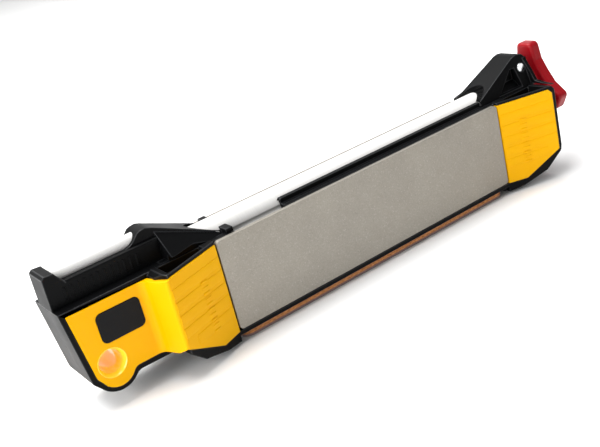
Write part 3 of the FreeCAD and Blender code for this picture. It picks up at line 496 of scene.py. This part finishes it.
# painted shade: a darker taupe for the lower part of the cut edge
lower_edge_shade = add_node(tree, "ShaderNodeMix",
                {"data_type": "RGBA", 6: linear("#6b5a55"), 7: linear("#8f7d77")},
                {0: fibre.outputs[0]})
# below 0.7 mm the painted shade takes over, above 0.95 mm the orange fibres
lower_shade_band = add_node(tree, "ShaderNodeMapRange", {"From Min": 0.7 * MM, "From Max": 0.95 * MM},
                 {"Value": height.outputs["Z"]})
tone = add_node(tree, "ShaderNodeMix", {"data_type": "RGBA"},
                {0: lower_shade_band.outputs[0], 6: lower_edge_shade.outputs[2], 7: split.outputs[2]})
relief = add_node(tree, "ShaderNodeBump", {"Strength": 0.6, "Distance": 0.12 * MM},
                  {"Height": fibre.outputs[0]})
shader = add_node(tree, "ShaderNodeBsdfPrincipled",
                  {"Roughness": 0.85, "IOR": 1.45, "Sheen Weight": 0.15},
                  {"Base Color": tone.outputs[2], "Normal": relief.outputs[0]})
add_node(tree, "ShaderNodeOutputMaterial", {}, {"Surface": shader.outputs[0]})
finished_part("strop", 0.3 * MM, (leather,))

# closed cell foam tape: a dull charcoal with cells of 0.2 mm
foam, tree, place = new_finish("closed cell foam tape")
cells = add_node(tree, "ShaderNodeTexVoronoi", {"Scale": 1 / (0.2 * MM)}, {"Vector": place})
tone = add_node(tree, "ShaderNodeMix",
                {"data_type": "RGBA", 6: linear("#0e0e0f"), 7: linear("#222224")},
                {0: cells.outputs[0]})
relief = add_node(tree, "ShaderNodeBump", {"Strength": 0.4, "Distance": 0.05 * MM},
                  {"Height": cells.outputs[0]})
shader = add_node(tree, "ShaderNodeBsdfPrincipled", {"Roughness": 0.95},
                  {"Base Color": tone.outputs[2], "Normal": relief.outputs[0]})
add_node(tree, "ShaderNodeOutputMaterial", {}, {"Surface": shader.outputs[0]})
finished_part("strop_pad", 0.05 * MM, (foam,))

# ---------------------------------------------------------------- ceramic rods
# Two rods of sintered alumina: the large one turns in the body and has a groove for fish hooks, the
# small one is pressed into the upper handle for serrated edges.

# sintered alumina: a dense matt off white, with faint grinding marks round the rod
alumina, tree, place = new_finish("ground sintered alumina")
rings = add_node(tree, "ShaderNodeMapping", {"Scale": (1, 0.05, 0.05)}, {"Vector": place})
ground = add_node(tree, "ShaderNodeTexNoise", {"Scale": 1 / (0.3 * MM), "Detail": 3},
                  {"Vector": rings.outputs[0]})
tone = add_node(tree, "ShaderNodeMix",
                {"data_type": "RGBA", 6: linear("#cbcac7"), 7: linear("#d5d4d2")},
                {0: ground.outputs[0]})
relief = add_node(tree, "ShaderNodeBump", {"Strength": 0.15, "Distance": 0.01 * MM},
                  {"Height": ground.outputs[0]})
shader = add_node(tree, "ShaderNodeBsdfPrincipled",
                  {"Roughness": 0.5, "IOR": 1.76, "Specular IOR Level": 0.3},
                  {"Base Color": tone.outputs[2], "Normal": relief.outputs[0]})
add_node(tree, "ShaderNodeOutputMaterial", {}, {"Surface": shader.outputs[0]})
for name in ("ceramic_rod", "serration_rod"):
    finished_part(name, 0.15 * MM, (alumina,))

# ---------------------------------------------------------------- hub, knob and screw
# A black acetal hub is bonded into the rod, and a red knob on its square end turns the rod to one
# of three settings; one screw holds the knob.

# turned acetal: black with a soft gloss and tool marks round it, 0.3 mm apart
acetal, tree, place = new_finish("turned black acetal")
rings = add_node(tree, "ShaderNodeMapping", {"Scale": (1, 0.05, 0.05)}, {"Vector": place})
marks = add_node(tree, "ShaderNodeTexNoise", {"Scale": 1 / (0.3 * MM), "Detail": 2},
                 {"Vector": rings.outputs[0]})
tone = add_node(tree, "ShaderNodeMix",
                {"data_type": "RGBA", 6: linear("#0c0c0d"), 7: linear("#18181a")},
                {0: marks.outputs[0]})
relief = add_node(tree, "ShaderNodeBump", {"Strength": 0.2, "Distance": 0.02 * MM},
                  {"Height": marks.outputs[0]})
shader = add_node(tree, "ShaderNodeBsdfPrincipled", {"Roughness": 0.3, "IOR": 1.48},
                  {"Base Color": tone.outputs[2], "Normal": relief.outputs[0]})
add_node(tree, "ShaderNodeOutputMaterial", {}, {"Surface": shader.outputs[0]})
finished_part("rod_hub", 0.12 * MM, (acetal,))

# red ABS: a deep glossy red, a little darker where the walls are thick, with a faint moulded grain
abs_red, tree, place = new_finish("moulded red ABS")
flow = add_node(tree, "ShaderNodeTexNoise", {"Scale": 1 / (5 * MM), "Detail": 2}, {"Vector": place})
tone = add_node(tree, "ShaderNodeMix",
                {"data_type": "RGBA", 6: linear("#85070f"), 7: linear("#9b0c19")},
                {0: flow.outputs[0]})
rough = add_node(tree, "ShaderNodeMapRange", {"To Min": 0.26, "To Max": 0.38},
                 {"Value": flow.outputs[0]})
grain = add_node(tree, "ShaderNodeTexNoise", {"Scale": 1 / (0.4 * MM), "Detail": 2},
                 {"Vector": place})
relief = add_node(tree, "ShaderNodeBump", {"Strength": 0.1, "Distance": 0.02 * MM},
                  {"Height": grain.outputs[0]})
shader = add_node(tree, "ShaderNodeBsdfPrincipled", {"IOR": 1.53, "Specular IOR Level": 0.2},
                  {"Base Color": tone.outputs[2], "Roughness": rough.outputs[0],
                   "Normal": relief.outputs[0]})
add_node(tree, "ShaderNodeOutputMaterial", {}, {"Surface": shader.outputs[0]})
finished_part("rod_knob", 0.05 * MM, (abs_red,))
finished_part("knob_screw", 0.12 * MM, (zinc,))

# ---------------------------------------------------------------- pin and detent
# A ground steel pin across the hood, and behind it a ball and spring that click into the hub.

# ground steel: a bright cool mirror with light scratches
steel, tree, place = new_finish("ground stainless steel")
scratch = add_node(tree, "ShaderNodeTexNoise", {"Scale": 1 / (0.5 * MM), "Detail": 4},
                   {"Vector": place})
tone = add_node(tree, "ShaderNodeMix",
                {"data_type": "RGBA", 6: linear("#c3c5c7"), 7: linear("#e2e3e4")},
                {0: scratch.outputs[0]})
rough = add_node(tree, "ShaderNodeMapRange", {"To Min": 0.12, "To Max": 0.32},
                 {"Value": scratch.outputs[0]})
shader = add_node(tree, "ShaderNodeBsdfPrincipled", {"Metallic": 1.0},
                  {"Base Color": tone.outputs[2], "Roughness": rough.outputs[0]})
add_node(tree, "ShaderNodeOutputMaterial", {}, {"Surface": shader.outputs[0]})
finished_part("retaining_pin", 0.25 * MM, (steel,))
for name in ("detent_ball", "detent_spring"):
    node = frame["nodes"][name]
    node.data.materials.clear()
    node.data.materials.append(steel)
